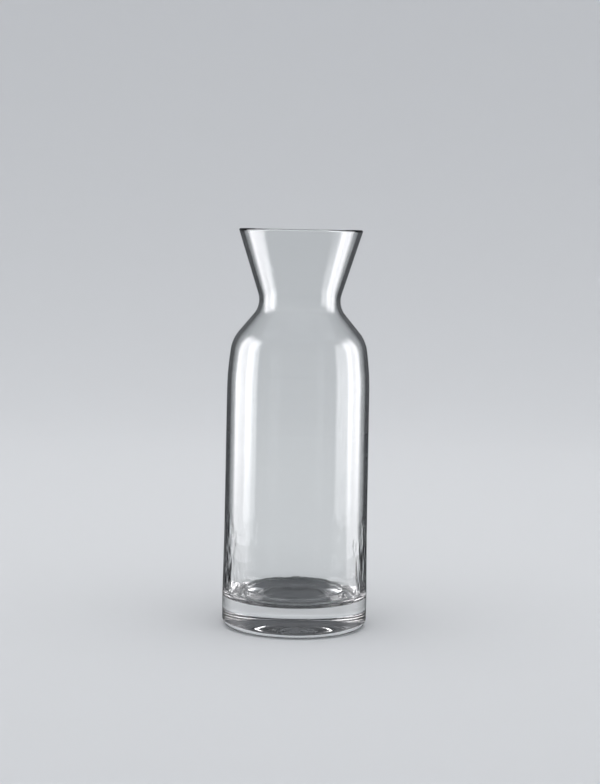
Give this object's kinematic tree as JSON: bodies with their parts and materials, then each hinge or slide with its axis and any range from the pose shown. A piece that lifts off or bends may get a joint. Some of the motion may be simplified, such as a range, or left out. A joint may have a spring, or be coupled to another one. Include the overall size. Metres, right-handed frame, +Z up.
{
  "type": "water carafe",
  "caption": "Clear glass water carafe with a straight body, rounded shoulder, narrow waist, flared mouth and thick base, for holding and pouring water.",
  "frame": {"origin": "centre of the base on the plane that the carafe stands on", "axes": "+Z up through the centre of the mouth; the form is turned about Z, so X and Y are free"},
  "size_m": [0.0942, 0.0942, 0.258],
  "materials": {
    "clear_glass": "polished"
  },
  "bodies": {
    "root": {"glass_body": "clear_glass"}
  },
  "joints": []
}
